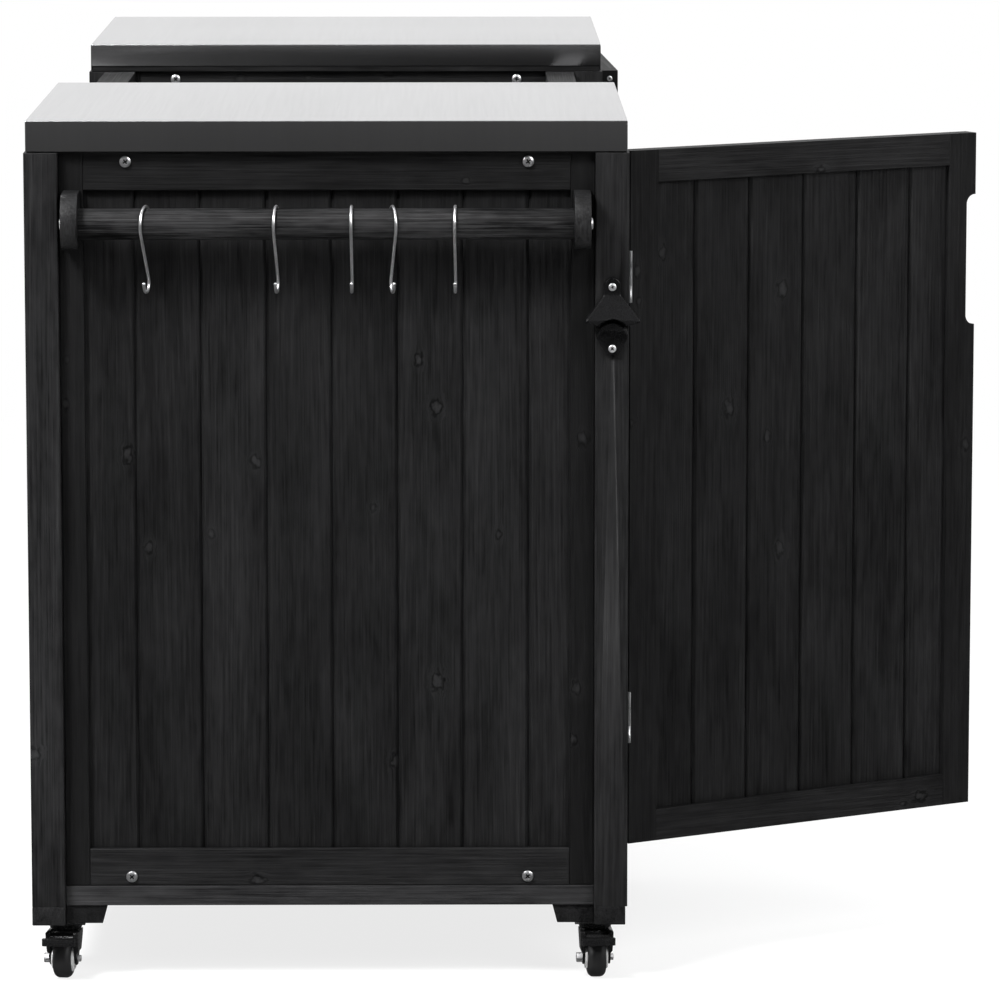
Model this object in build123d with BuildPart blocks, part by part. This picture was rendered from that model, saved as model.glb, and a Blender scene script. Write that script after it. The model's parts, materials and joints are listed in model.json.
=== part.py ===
"""Outdoor kitchen island: two boarded cabinets with steel worktops, joined across an open bay, on casters."""

import os
from math import atan2, degrees

from build123d import *

# Millimetres. +Z is up, the doors face -Y and the towel bar is on the -X end.
# The origin is on the floor, under the middle of the carcass.

# Overall sizes
island_length = 1560.0
carcass_depth = 604.0
worktop_height = 876.0
cabinet_length = 495.0

# Fits: a glue line between fixed timbers, and the play of sliding and turning pieces
glue_line = 0.1
tongue_play = 0.25
drill_play = 0.1
running_play = 0.05
free_play = 0.4

# Steel worktops on timber cores
sheet = 1.0
worktop_inset = 2.0
skirt_height = 30.5
bay_skirt_height = 25.0
skirt_gap = 1.5
fold_radius = 0.9
core_play = 0.3

# Posts and boarded panels
post_size = 34.0
post_easing = 1.0
panel_thickness = 18.0
panel_recess = 11.0
panel_stile = 24.5
panel_rail = 38.5
first_panel_board = 50.3
first_back_board = 57.0
board_thickness = 9.0
board_recess = 6.0
board_cover = 65.8
board_bite = 6.0
board_end_play = 0.5
least_board = 18.0
vee = 3.0
tongue_length = 4.5
tongue_thickness = 3.0

# Base: casters, foot blocks, skids, beams and rails
caster_height = 58.0
foot_thickness = 19.0
foot_length = 70.0
foot_front_inset = 2.0
skid_width = 42.0
skid_bevel = 5.0
skid_recess = 11.5
beam_height = 20.0
beam_thickness = 24.0
beam_recess = 9.0
front_rail_height = 54.5
front_rail_thickness = 19.0

# Inside the cabinets
stretcher_width = 33.0
stretcher_height = 19.0
floor_thickness = 9.0
floor_board_count = 6
floor_joint = 1.0
shelf_height = 470.0
shelf_thickness = 12.0
shelf_board_count = 8
shelf_front_gap = 6.0
shelf_play = 0.5
cleat_size = 20.0

# Bay between the cabinets
bay_rail_height = 45.0
front_bay_rail_width = 33.0
back_bay_rail_width = 36.0
back_bay_rail_inset = 18.0
slat_width = 66.0
slat_thickness = 18.0
slat_count = 7
slat_end_gap = 0.5

# Doors
door_thickness = 19.5
door_gap = 2.5
door_top_gap = 1.5
door_stile = 33.0
door_rail = 32.5
first_door_board = 48.0
notch_height = 136.0
notch_depth = 11.0
notch_corner = 10.0
notch_from_top = 64.0
left_door_open = 60.0
right_door_open = 2.6

# Butt hinges and door catches
hinge_height = 52.0
hinge_from_top = 126.5
hinge_from_bottom = 131.5
leaf_thickness = 1.0
leaf_depth = 17.0
barrel_radius = 1.9
pin_radius = 0.9
barrel_offset = 2.1
knuckle_gap = 0.4
knuckle_count = 3
catch_width = 14.0
catch_depth = 18.0
catch_height = 40.0
catch_drop = 324.0
strike_thickness = 1.2
strike_width = 11.0
strike_edge = 2.0
catch_gap = 0.3

# Panel bolts and wood screws
bolt_inset = 101.0
bolt_radius = 3.0
bolt_length = 48.0
bolt_head_radius = 6.4
bolt_head_height = 3.6
bolt_head_taper = 20.0
screw_radius = 2.0
screw_head_radius = 6.0
screw_head_height = 2.4
screw_head_taper = 25.0
screw_length = 32.0

# Towel bar and S-hooks
bar_radius = 15.5
bar_drop = 69.0
bar_standoff = 30.0
bracket_inset = 39.0
bracket_thickness = 16.5
bracket_height = 56.0
bracket_rise = 3.0
hook_wire = 1.5
hook_play = 1.3
hook_sag = 0.8
hook_back_angle = 200.0
hook_front_angle = -30.0
hook_shank = 52.0
hook_loop_radius = 9.0
hook_loop_turn = 210.0
hook_ball = 1.9
hook_offsets = (180.0, 50.0, -25.0, -66.0, -128.0)
hook_yaws = (-13.0, -6.5, -1.0, 10.5, -2.0)

# Bottle opener on the near front post, measured down from the post's top and from its own
opener_drop = 125.0
opener_height = 77.5
opener_upper_screw_drop = 9.0
opener_lower_screw_drop = 71.0
opener_plate = 4.0
opener_reach = 21.0
opener_tab_width = 17.0
opener_wing_width = 54.5
opener_wing_drop = 40.6
opener_wing_height = 5.9
opener_wing_tip = 2.2
opener_claw_width = 30.0
opener_flare_width = 33.0
opener_flare_drop = 27.5
opener_shield_width = 32.0
opener_shield_drop = 60.0
opener_shield_foot = 13.0
opener_mouth_radius = 19.0
opener_mouth_drop = 39.9
opener_lip_radius = 16.0
opener_lip_width = 20.0
opener_lip_drop = 52.0
opener_lip_reach = 14.0
opener_hood_gap = 4.2
opener_screw_head_radius = 4.0

# Casters
caster_inset = 32.0
caster_plate_size = 42.0
caster_plate_thickness = 2.0
race_radius = 13.0
race_height = 7.0
stem_radius = 6.0
caster_trail = 12.0
wheel_radius = 20.0
wheel_width = 19.0
wheel_corner = 6.5
rim_radius = 11.5
rim_reach = 2.0
hub_radius = 6.5
axle_radius = 2.5
axle_head_radius = 3.6
axle_head_height = 3.5
axle_nut_radius = 5.3
axle_nut_height = 6.0
fork_gauge = 2.2
fork_top_width = 33.6
fork_shoulder_width = 32.2
fork_shoulder = 8.5
fork_waist = 5.5
fork_play = 0.5
fork_crown = 4.5
fork_length = 30.0
lever_pin_radius = 1.5
lever_knuckle_radius = 3.0
lever_pivot_forward = 10.0
lever_pivot_rise = 23.0
lever_drop = 0.5
lever_forward = 17.0
lever_gauge = 2.4
lever_width = 25.0
lever_tab_length = 7.0
lever_tab_width = 34.0
lever_tab_height = 7.0
lever_tab_corner = 3.0
lever_setoff = 1.5
caster_turns = (4.0, -7.0, 0.0, 0.0)

# Planes and levels that the pieces share
end_x = island_length / 2
inner_x = end_x - cabinet_length
front_y = -carcass_depth / 2
back_y = carcass_depth / 2
bay_length = 2 * inner_x
clear_length = cabinet_length - 2 * post_size
clear_depth = carcass_depth - 2 * post_size
cabinet_middle_x = -end_x + cabinet_length / 2
foot_top = caster_height + foot_thickness
post_top = worktop_height - skirt_height - skirt_gap
panel_bottom = foot_top + beam_height
panel_height = post_top - panel_bottom
panel_inside = panel_recess + panel_thickness
inside_length = cabinet_length - 2 * panel_inside
floor_level = panel_bottom + stretcher_height
upper_bolt = post_top - stretcher_height / 2
lower_bolt = panel_bottom + stretcher_height / 2
door_bottom = foot_top + front_rail_height + door_gap
door_height = post_top - door_top_gap - door_bottom
door_width = clear_length - 2 * door_gap
bar_x = -end_x + panel_recess - bar_standoff
bar_height = post_top - bar_drop
bar_half = carcass_depth / 2 - bracket_inset - bracket_thickness
catch_level = post_top - catch_drop
opener_y = front_y + post_size / 2
opener_top = post_top - opener_drop
opener_bottom = opener_top - opener_height
opener_upper_screw = opener_top - opener_upper_screw_drop
opener_lower_screw = opener_top - opener_lower_screw_drop
opener_wing_top = opener_top - opener_wing_drop
opener_wing_bottom = opener_wing_top - opener_wing_height
opener_flare_level = opener_top - opener_flare_drop
opener_shield_level = opener_top - opener_shield_drop
opener_lip_level = opener_top - opener_lip_drop

os.makedirs("parts", exist_ok=True)


def save(piece, label):
    """Label a finished sub-part and write it as its own file."""
    piece.part.label = label
    export_step(piece.part, f"parts/{label}.step")


def save_mirrored(piece, label):
    """Write the right-hand copy of a left-hand sub-part."""
    with BuildPart() as copy:
        mirror(piece.part, about=Plane.YZ)
    save(copy, label)


def timber(low, high):
    """Add a straight timber between two opposite corners to the sub-part being built."""
    size = [top - bottom for bottom, top in zip(low, high)]
    centre = [(top + bottom) / 2 for bottom, top in zip(low, high)]
    with Locations(tuple(centre)):
        Box(*size)


def board_edges(opening, first):
    """Edges of the covering boards across a panel opening, from a first board of its own width."""
    edges = [0.0, first]
    while edges[-1] + board_cover + least_board < opening:
        edges.append(edges[-1] + board_cover)
    return edges + [opening]


def board_outline(left, right, has_groove, has_tongue):
    """Section of one board: V-jointed front edges, a groove on its left and a tongue on its right."""
    low = left + glue_line / 2
    high = right - glue_line / 2
    centre = (board_thickness + vee) / 2
    half_tongue = tongue_thickness / 2
    half_groove = half_tongue + tongue_play
    points = [(low + vee, 0), (high - vee, 0), (high, vee)]
    if has_tongue:
        points += [(high, centre - half_tongue), (high + tongue_length, centre - half_tongue)]
        points += [(high + tongue_length, centre + half_tongue), (high, centre + half_tongue)]
    points += [(high, board_thickness), (low, board_thickness)]
    if has_groove:
        groove = low + tongue_length + glue_line + tongue_play
        points += [(low, centre + half_groove), (groove, centre + half_groove)]
        points += [(groove, centre - half_groove), (low, centre - half_groove)]
    return points + [(low, vee)]


def panel_frame(plane, width, height, stile, rail, thickness, drilled=()):
    """Stiles and rails round an opening, grooved for the boards; the plane is the outer face."""
    opening = (width - 2 * stile, height - 2 * rail)
    middle = (width / 2, height / 2)
    with BuildPart(plane) as frame:
        with BuildSketch(plane):
            with Locations((stile / 2, height / 2), (width - stile / 2, height / 2)):
                Rectangle(stile, height)
            with Locations((width / 2, rail / 2), (width / 2, height - rail / 2)):
                Rectangle(opening[0] - 2 * glue_line, rail)
        extrude(amount=-thickness)
        with BuildSketch(plane.offset(tongue_play - board_recess)):
            with Locations(middle):
                Rectangle(opening[0] + 2 * board_bite, opening[1] + 2 * board_bite)
        extrude(amount=-board_thickness - 2 * tongue_play, mode=Mode.SUBTRACT)
        for place in drilled:
            with Locations(place):
                Hole(bolt_radius + drill_play, thickness)
    return frame


def panel_boards(plane, width, height, stile, rail, first):
    """Upright tongued boards that fill a panel frame and bite into its grooves."""
    opening = width - 2 * stile
    bite = board_bite - board_end_play
    edges = board_edges(opening, first)
    last = len(edges) - 2
    start = plane.from_local_coords((stile, rail - bite, -board_recess))
    section = Plane(origin=start, x_dir=plane.x_dir, z_dir=plane.y_dir)
    with BuildPart() as boards:
        with BuildSketch(section):
            for number in range(last + 1):
                left = edges[number] - (bite if number == 0 else 0)
                right = edges[number + 1] + (bite if number == last else 0)
                with BuildLine():
                    Polyline(*board_outline(left, right, number > 0, number < last), close=True)
                make_face()
        extrude(amount=height - 2 * rail + 2 * bite)
    return boards


def post_pair(y_low):
    """The outer and inner posts of the left cabinet at its front or its back."""
    with BuildPart() as posts:
        for x_low in (-end_x, -inner_x - post_size):
            timber((x_low, y_low, foot_top), (x_low + post_size, y_low + post_size, post_top))
        chamfer(posts.edges().filter_by(Axis.Z), post_easing)
    return posts


# Worktops: a folded steel pan with a shallower skirt on the bay side, over a solid timber core
worktop_length = cabinet_length - 2 * worktop_inset
worktop_depth = carcass_depth - 2 * worktop_inset
with BuildPart() as left_worktop:
    with BuildSketch(Plane.XY.offset(worktop_height - skirt_height)):
        with Locations((cabinet_middle_x, 0)):
            Rectangle(worktop_length, worktop_depth)
    extrude(amount=skirt_height)
    fillet(left_worktop.edges().filter_by(Axis.Z), fold_radius)
    fillet(left_worktop.faces().sort_by(Axis.Z)[-1].edges(), fold_radius)
    with BuildSketch(Plane.XY.offset(worktop_height - skirt_height)):
        with Locations((cabinet_middle_x, 0)):
            Rectangle(worktop_length - 2 * sheet, worktop_depth - 2 * sheet)
    extrude(amount=skirt_height - sheet, mode=Mode.SUBTRACT)
    with BuildSketch(Plane.XY.offset(worktop_height - skirt_height)):
        with Locations((-inner_x - worktop_inset - sheet / 2, 0)):
            Rectangle(sheet, worktop_depth - 2 * sheet)
    extrude(amount=skirt_height - bay_skirt_height, mode=Mode.SUBTRACT)
save(left_worktop, "left_worktop")
save_mirrored(left_worktop, "right_worktop")

core_trim = 2 * (sheet + core_play)
with BuildPart() as worktop_cores:
    with BuildSketch(Plane.XY.offset(post_top)):
        with Locations((cabinet_middle_x, 0), (-cabinet_middle_x, 0)):
            Rectangle(worktop_length - core_trim, worktop_depth - core_trim)
    extrude(amount=worktop_height - sheet - post_top)
save(worktop_cores, "worktop_cores")

# Posts; the near front post is drilled for the bottle opener
opener_plane = Plane(origin=(-end_x, opener_y, 0), x_dir=(0, -1, 0), z_dir=(-1, 0, 0))
opener_screw_places = [(0, opener_upper_screw, 0), (0, opener_lower_screw, 0)]
opener_screw_seats = [opener_plane.from_local_coords(place) for place in opener_screw_places]
screw_pilot = screw_radius + drill_play
front_posts = post_pair(front_y)
back_posts = post_pair(back_y - post_size)
save_mirrored(front_posts, "right_front_posts")
save_mirrored(back_posts, "right_back_posts")
save(back_posts, "left_back_posts")
with BuildPart() as left_front_posts:
    add(front_posts.part)
    with Locations(*[Plane(origin=place, z_dir=opener_plane.z_dir) for place in opener_screw_seats]):
        Hole(screw_pilot, screw_length - opener_plate + drill_play)
save(left_front_posts, "left_front_posts")

# Boarded side panels between the posts, each with four bolt holes through its rails
side_bolts = [(across, level - panel_bottom, 0)
              for across in (bolt_inset - post_size, clear_depth - bolt_inset + post_size)
              for level in (lower_bolt, upper_bolt)]
outer_plane = Plane(origin=(-end_x + panel_recess, back_y - post_size, panel_bottom),
                    x_dir=(0, -1, 0), z_dir=(-1, 0, 0))
bay_plane = Plane(origin=(-inner_x - panel_recess, front_y + post_size, panel_bottom),
                  x_dir=(0, 1, 0), z_dir=(1, 0, 0))
for plane, side in ((outer_plane, "outer"), (bay_plane, "bay")):
    frame = panel_frame(plane, clear_depth, panel_height, panel_stile, panel_rail, panel_thickness,
                        side_bolts)
    boards = panel_boards(plane, clear_depth, panel_height, panel_stile, panel_rail, first_panel_board)
    save(frame, f"left_{side}_panel_frame")
    save(boards, f"left_{side}_panel_boards")
    save_mirrored(frame, f"right_{side}_panel_frame")
    save_mirrored(boards, f"right_{side}_panel_boards")

# Boarded back panels, frame and boards together
back_plane = Plane(origin=(-inner_x - post_size, back_y - panel_recess, panel_bottom),
                   x_dir=(-1, 0, 0), z_dir=(0, 1, 0))
back_frame = panel_frame(back_plane, clear_length, panel_height, panel_stile, panel_rail, panel_thickness)
back_boards = panel_boards(back_plane, clear_length, panel_height, panel_stile, panel_rail, first_back_board)
with BuildPart() as left_back_panel:
    add(back_frame.part)
    add(back_boards.part)
save(left_back_panel, "left_back_panel")
save_mirrored(left_back_panel, "right_back_panel")

# Base: foot blocks under the corner posts, two skids along the whole island, beams and front rails
with BuildPart() as foot_blocks:
    for x_low in (-end_x, end_x - foot_length):
        timber((x_low, front_y + foot_front_inset, caster_height),
               (x_low + foot_length, front_y + post_size - glue_line, foot_top))
        timber((x_low, back_y - post_size + glue_line, caster_height),
               (x_low + foot_length, back_y, foot_top))
save(foot_blocks, "foot_blocks")

skid_plane = Plane(origin=(-end_x + skid_recess, 0, caster_height), x_dir=(0, 1, 0), z_dir=(1, 0, 0))
with BuildPart() as skids:
    with BuildSketch(skid_plane):
        with BuildLine():
            outer_edge = front_y + post_size
            Polyline((outer_edge, 0), (outer_edge, foot_thickness), (outer_edge + skid_width, foot_thickness),
                     (outer_edge + skid_width - skid_bevel, 0), close=True)
        make_face()
        mirror(about=Plane.YZ)
    extrude(amount=island_length - 2 * skid_recess)
save(skids, "skids")

with BuildPart() as left_beams:
    outer_face = -end_x + beam_recess
    bay_face = -inner_x - beam_recess
    back_face = back_y - beam_recess
    timber((outer_face, front_y + post_size, foot_top),
           (outer_face + beam_thickness, back_y - post_size, panel_bottom))
    timber((bay_face - beam_thickness, front_y + post_size, foot_top),
           (bay_face, back_y - post_size, panel_bottom))
    timber((-end_x + post_size, back_face - beam_thickness, foot_top),
           (-inner_x - post_size, back_face, panel_bottom))
with BuildPart() as bottom_beams:
    add(left_beams.part)
    mirror(left_beams.part, about=Plane.YZ)
save(bottom_beams, "bottom_beams")

with BuildPart() as front_bottom_rails:
    with Locations((cabinet_middle_x, front_y + front_rail_thickness / 2, foot_top + front_rail_height / 2),
                   (-cabinet_middle_x, front_y + front_rail_thickness / 2, foot_top + front_rail_height / 2)):
        Box(clear_length, front_rail_thickness, front_rail_height)
save(front_bottom_rails, "front_bottom_rails")

# Stretchers between the side panels, drilled in both ends for the panel bolts
stretcher_y = carcass_depth / 2 - bolt_inset
bolt_reach = bolt_length - panel_thickness
with BuildPart() as stretchers:
    for level in (lower_bolt, upper_bolt):
        for middle_x in (cabinet_middle_x, -cabinet_middle_x):
            with Locations((middle_x, -stretcher_y, level), (middle_x, stretcher_y, level)):
                Box(inside_length, stretcher_width, stretcher_height)
            for end in (middle_x - inside_length / 2, middle_x + inside_length / 2):
                with Locations((end, -stretcher_y, level), (end, stretcher_y, level)):
                    Cylinder(bolt_radius + drill_play, 2 * (bolt_reach + drill_play), rotation=(0, 90, 0),
                             mode=Mode.SUBTRACT)
save(stretchers, "stretchers")

# Cabinet floors and shelves
floor_front = front_y + front_rail_thickness
floor_back = back_y - panel_inside
floor_board = clear_length / floor_board_count
with BuildPart() as cabinet_floors:
    for middle_x in (cabinet_middle_x, -cabinet_middle_x):
        with Locations((middle_x, (floor_front + floor_back) / 2, floor_level + floor_thickness / 2)):
            with GridLocations(floor_board, 0, floor_board_count, 1):
                Box(floor_board - floor_joint, floor_back - floor_front, floor_thickness)
save(cabinet_floors, "cabinet_floors")

shelf_depth = clear_depth - 2 * shelf_front_gap
shelf_board = shelf_depth / shelf_board_count
cleat_x = inside_length / 2 - cleat_size / 2
with BuildPart() as cabinet_shelves:
    for middle_x in (cabinet_middle_x, -cabinet_middle_x):
        with Locations((middle_x, 0, shelf_height - shelf_thickness / 2)):
            with GridLocations(0, shelf_board, 1, shelf_board_count):
                Box(inside_length - 2 * shelf_play, shelf_board - floor_joint, shelf_thickness)
        cleat_level = shelf_height - shelf_thickness - glue_line - cleat_size / 2
        with Locations((middle_x - cleat_x, 0, cleat_level), (middle_x + cleat_x, 0, cleat_level)):
            Box(cleat_size, shelf_depth, cleat_size)
save(cabinet_shelves, "cabinet_shelves")

# Bay: two rails under worktop level and a low slatted shelf on the skids
bay_rail_bottom = post_top - bay_rail_height
bay_reach = inner_x + panel_recess
with BuildPart() as front_bay_rail:
    timber((-bay_reach, front_y + post_size, bay_rail_bottom),
           (bay_reach, front_y + post_size + front_bay_rail_width, post_top))
save(front_bay_rail, "front_bay_rail")

with BuildPart() as back_bay_rail:
    rail_face = back_y - back_bay_rail_inset
    timber((-inner_x, rail_face - back_bay_rail_width, bay_rail_bottom), (inner_x, rail_face, post_top))
    timber((-bay_reach, rail_face - back_bay_rail_width, bay_rail_bottom),
           (bay_reach, back_y - post_size, post_top))
save(back_bay_rail, "back_bay_rail")

slat_room = bay_length + 2 * (beam_recess - slat_end_gap)
slat_pitch = (slat_room - slat_width) / (slat_count - 1)
with BuildPart() as bay_slats:
    with Locations((0, 0, foot_top + slat_thickness / 2)):
        with GridLocations(slat_pitch, 0, slat_count, 1):
            Box(slat_width, clear_depth - 2 * slat_end_gap - 2 * post_easing, slat_thickness)
save(bay_slats, "bay_slats")

# Panel bolts: pan head, collar and a shank into the stretcher behind
with BuildPart() as panel_bolts:
    for side in (-1, 1):
        for face, out in ((side * (end_x - panel_recess), side), (side * (inner_x + panel_recess), -side)):
            for level in (lower_bolt, upper_bolt):
                for across in (-stretcher_y, stretcher_y):
                    bolt_plane = Plane(origin=(face, across, level), z_dir=(out, 0, 0))
                    with BuildSketch(bolt_plane):
                        Circle(bolt_head_radius)
                    extrude(amount=bolt_head_height, taper=bolt_head_taper)
                    with BuildSketch(bolt_plane):
                        Circle(bolt_radius)
                    extrude(amount=-bolt_length)
save(panel_bolts, "panel_bolts")

# Towel bar between two D-shaped brackets on the outer panel's stiles, each a little higher than the bar
bar_axis = Plane(origin=(bar_x, 0, bar_height), x_dir=(1, 0, 0), z_dir=(0, -1, 0))
bar_screw_depth = screw_length - bracket_thickness
with BuildPart() as towel_bar:
    with BuildSketch(bar_axis):
        Circle(bar_radius)
        Circle(screw_pilot, mode=Mode.SUBTRACT)
    extrude(amount=bar_half, both=True)
    with BuildSketch(bar_axis):
        Circle(screw_pilot)
    extrude(amount=bar_half - bar_screw_depth - drill_play, both=True)
save(towel_bar, "towel_bar")

with BuildPart() as bar_brackets:
    for near_face in (bar_half, -bar_half - bracket_thickness):
        with BuildSketch(bar_axis.offset(near_face)):
            with Locations((0, bracket_rise)):
                Circle(bracket_height / 2)
            with Locations((bar_standoff / 2, bracket_rise)):
                Rectangle(bar_standoff, bracket_height)
            with Locations((bar_standoff + bracket_height / 2, bracket_rise)):
                Rectangle(bracket_height, bracket_height, mode=Mode.SUBTRACT)
            Circle(screw_pilot, mode=Mode.SUBTRACT)
        extrude(amount=bracket_thickness)
save(bar_brackets, "bar_brackets")

# Wood screws: two through the bar brackets and two through the bottle opener
back_bracket_face = Plane(origin=(bar_x, bar_half + bracket_thickness, bar_height), z_dir=(0, 1, 0))
screw_seats = [(bar_axis.offset(bar_half + bracket_thickness), screw_head_radius),
               (back_bracket_face, screw_head_radius)]
opener_face = opener_plane.offset(opener_plate)
for place in opener_screw_places:
    seat = Plane(origin=opener_face.from_local_coords(place), z_dir=opener_plane.z_dir)
    screw_seats.append((seat, opener_screw_head_radius))
with BuildPart() as wood_screws:
    for plane, head_radius in screw_seats:
        with BuildSketch(plane):
            Circle(head_radius)
        extrude(amount=screw_head_height, taper=screw_head_taper)
        with BuildSketch(plane):
            Circle(screw_radius)
        extrude(amount=-screw_length)
save(wood_screws, "wood_screws")

# Bottle opener: a screw tab, a flared hood with an arched mouth and, below it, a lip on a shield-shaped plate
hood_top = opener_upper_screw - opener_screw_head_radius - opener_hood_gap
mouth_centre = opener_top - opener_mouth_drop - opener_mouth_radius
tab_middle = opener_top - opener_tab_width / 2
half_tab = opener_tab_width / 2
half_shield = opener_shield_width / 2
half_foot = opener_shield_foot / 2
half_wing = opener_wing_width / 2
half_flare = opener_flare_width / 2
half_claw = opener_claw_width / 2
wing_tip_bottom = opener_wing_top - opener_wing_tip
half_lip = opener_lip_width / 2
with BuildPart(opener_plane) as bottle_opener:
    with BuildSketch(opener_plane):
        with BuildLine():
            Line((-half_tab, hood_top), (-half_tab, tab_middle))
            ThreePointArc((-half_tab, tab_middle), (0, opener_top), (half_tab, tab_middle))
            Polyline((half_tab, tab_middle), (half_tab, hood_top), (half_shield, opener_wing_top),
                     (half_shield, opener_shield_level), (half_foot, opener_bottom),
                     (-half_foot, opener_bottom), (-half_shield, opener_shield_level),
                     (-half_shield, opener_wing_top), (-half_tab, hood_top))
        make_face()
    extrude(amount=opener_plate)
    with BuildSketch(opener_plane):
        with BuildLine():
            Polyline((-half_wing, opener_wing_top), (-half_wing, wing_tip_bottom),
                     (-half_claw, opener_wing_bottom), (half_claw, opener_wing_bottom),
                     (half_wing, wing_tip_bottom), (half_wing, opener_wing_top))
            ThreePointArc((half_wing, opener_wing_top), (half_flare, opener_flare_level),
                          (half_tab, hood_top))
            Line((half_tab, hood_top), (-half_tab, hood_top))
            ThreePointArc((-half_tab, hood_top), (-half_flare, opener_flare_level),
                          (-half_wing, opener_wing_top))
        make_face()
    extrude(amount=opener_reach)
    with BuildSketch(Plane(origin=opener_plane.origin, x_dir=(-1, 0, 0), z_dir=(0, 1, 0))):
        with BuildLine():
            Polyline((opener_plate, hood_top), (opener_reach, opener_wing_top), (opener_reach, hood_top),
                     close=True)
        make_face()
    extrude(amount=opener_wing_width, both=True, mode=Mode.SUBTRACT)
    with BuildSketch(opener_plane.offset(opener_plate)):
        with Locations((0, mouth_centre)):
            Circle(opener_mouth_radius)
    extrude(amount=opener_reach, mode=Mode.SUBTRACT)
    with BuildSketch(opener_plane):
        with Locations((0, opener_shield_level)):
            Circle(opener_lip_radius)
        with BuildLine():
            Polyline((-half_lip, opener_lip_level), (half_lip, opener_lip_level),
                     (half_shield, opener_shield_level), (half_shield, opener_bottom),
                     (-half_shield, opener_bottom), (-half_shield, opener_shield_level), close=True)
        make_face(mode=Mode.SUBTRACT)
    extrude(amount=opener_lip_reach)
    with Locations(*[(x, y, opener_plate) for x, y, z in opener_screw_places]):
        Hole(screw_pilot, opener_plate)
save(bottle_opener, "bottle_opener")


def hook_path(plane):
    """An S-hook's wire: over the bar, down across it and up into a small loop in front."""
    top_radius = bar_radius + hook_wire + hook_play
    with BuildLine(plane) as path:
        over = CenterArc((0, 0), top_radius, hook_back_angle, hook_front_angle - hook_back_angle)
        shank = Line(over @ 1, over @ 1 + (over % 1) * hook_shank)
        JernArc(shank @ 1, shank % 1, hook_loop_radius, hook_loop_turn)
    return path


def s_hook(plane):
    """One bent wire hook with a ball on each end, in a plane across the bar."""
    path = hook_path(plane)
    with BuildPart() as hook:
        with BuildSketch(Plane(origin=path.wire() @ 0, z_dir=path.wire() % 0)):
            Circle(hook_wire)
        sweep(path=path.wire())
        with Locations(path.wire() @ 0, path.wire() @ 1):
            Sphere(hook_ball)
    return hook


def hook_plane(offset, yaw, lean):
    """Plane of one hook: across the bar, turned a little about the vertical and tipped to hang plumb."""
    middle = Location((bar_x, offset, bar_height - hook_sag))
    return Plane(middle * Rotation(0, lean, 0) * Rotation(0, 0, yaw) * Plane(
        origin=(0, 0, 0), x_dir=(-1, 0, 0), z_dir=(0, 1, 0)).location)


for number, (offset, yaw) in enumerate(zip(hook_offsets, hook_yaws), start=1):
    centre = s_hook(hook_plane(offset, yaw, 0)).part.center() - Vector(bar_x, offset, bar_height)
    lean = degrees(atan2(centre.X, -centre.Z))
    save(s_hook(hook_plane(offset, yaw, lean)), f"s_hook_{number}")


# Doors: framed boards on butt hinges at the outer posts, shown as they stand open
hinge_y = front_y - barrel_offset
left_hinge_x = -end_x + post_size + door_gap / 2
hinge_levels = (door_bottom + hinge_from_bottom, door_bottom + door_height - hinge_from_top)
left_pivot = Location((left_hinge_x, hinge_y, 0))
right_pivot = Location((-left_hinge_x, hinge_y, 0))


def swung(pivot, angle, plane):
    """A plane of the closed door, turned about the door's hinge axis."""
    return Plane(pivot * Rotation(0, 0, angle) * pivot.inverse() * plane.location)


def closed_plane(corner_x):
    """Outer face of a closed door, with its origin at the lower left corner."""
    return Plane(origin=(corner_x, front_y, door_bottom), x_dir=(1, 0, 0), z_dir=(0, -1, 0))


def door_frame(plane, free_edge):
    """Stiles and rails of a door, with the finger notch in the free stile."""
    frame = panel_frame(plane, door_width, door_height, door_stile, door_rail, door_thickness)
    notch_middle = door_height - notch_from_top - notch_height / 2
    with BuildPart() as notched:
        add(frame.part)
        with BuildSketch(plane):
            with Locations((free_edge, notch_middle)):
                RectangleRounded(2 * notch_depth, notch_height, notch_corner)
        extrude(amount=-door_thickness, mode=Mode.SUBTRACT)
    return notched


knuckle_length = (hinge_height - (knuckle_count - 1) * knuckle_gap) / knuckle_count
lower_knuckle = (-hinge_height / 2, -hinge_height / 2 + knuckle_length)
middle_knuckle = (-knuckle_length / 2, knuckle_length / 2)
upper_knuckle = (hinge_height / 2 - knuckle_length, hinge_height / 2)
leaf_start = barrel_radius + knuckle_gap


def hinge_leaf(side, spans):
    """Leaves and knuckles of a door's two hinges on one side of the hinge axis, at the origin."""
    leaf_x = side * (door_gap / 2 - leaf_thickness / 2)
    root_y = (pin_radius + barrel_radius) / 2
    with BuildPart() as leaf:
        for level in hinge_levels:
            with Locations((leaf_x, leaf_start + leaf_depth / 2, level)):
                Box(leaf_thickness, leaf_depth, hinge_height)
            for low, high in spans:
                with Locations((0, 0, level + (low + high) / 2)):
                    Cylinder(barrel_radius, high - low)
                with Locations((leaf_x, (root_y + leaf_start) / 2, level + (low + high) / 2)):
                    Box(leaf_thickness, leaf_start - root_y, high - low)
    return leaf


post_leaf = hinge_leaf(-1, (lower_knuckle, upper_knuckle))
with BuildPart() as pinned_leaf:
    add(post_leaf.part)
    for level in hinge_levels:
        with Locations((0, 0, level)):
            Cylinder(pin_radius, hinge_height)
with BuildPart() as left_post_leaves:
    add(pinned_leaf.part.moved(left_pivot))
with BuildPart() as hinge_post_leaves:
    add(left_post_leaves.part)
    mirror(left_post_leaves.part, about=Plane.YZ)
save(hinge_post_leaves, "hinge_post_leaves")

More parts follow.
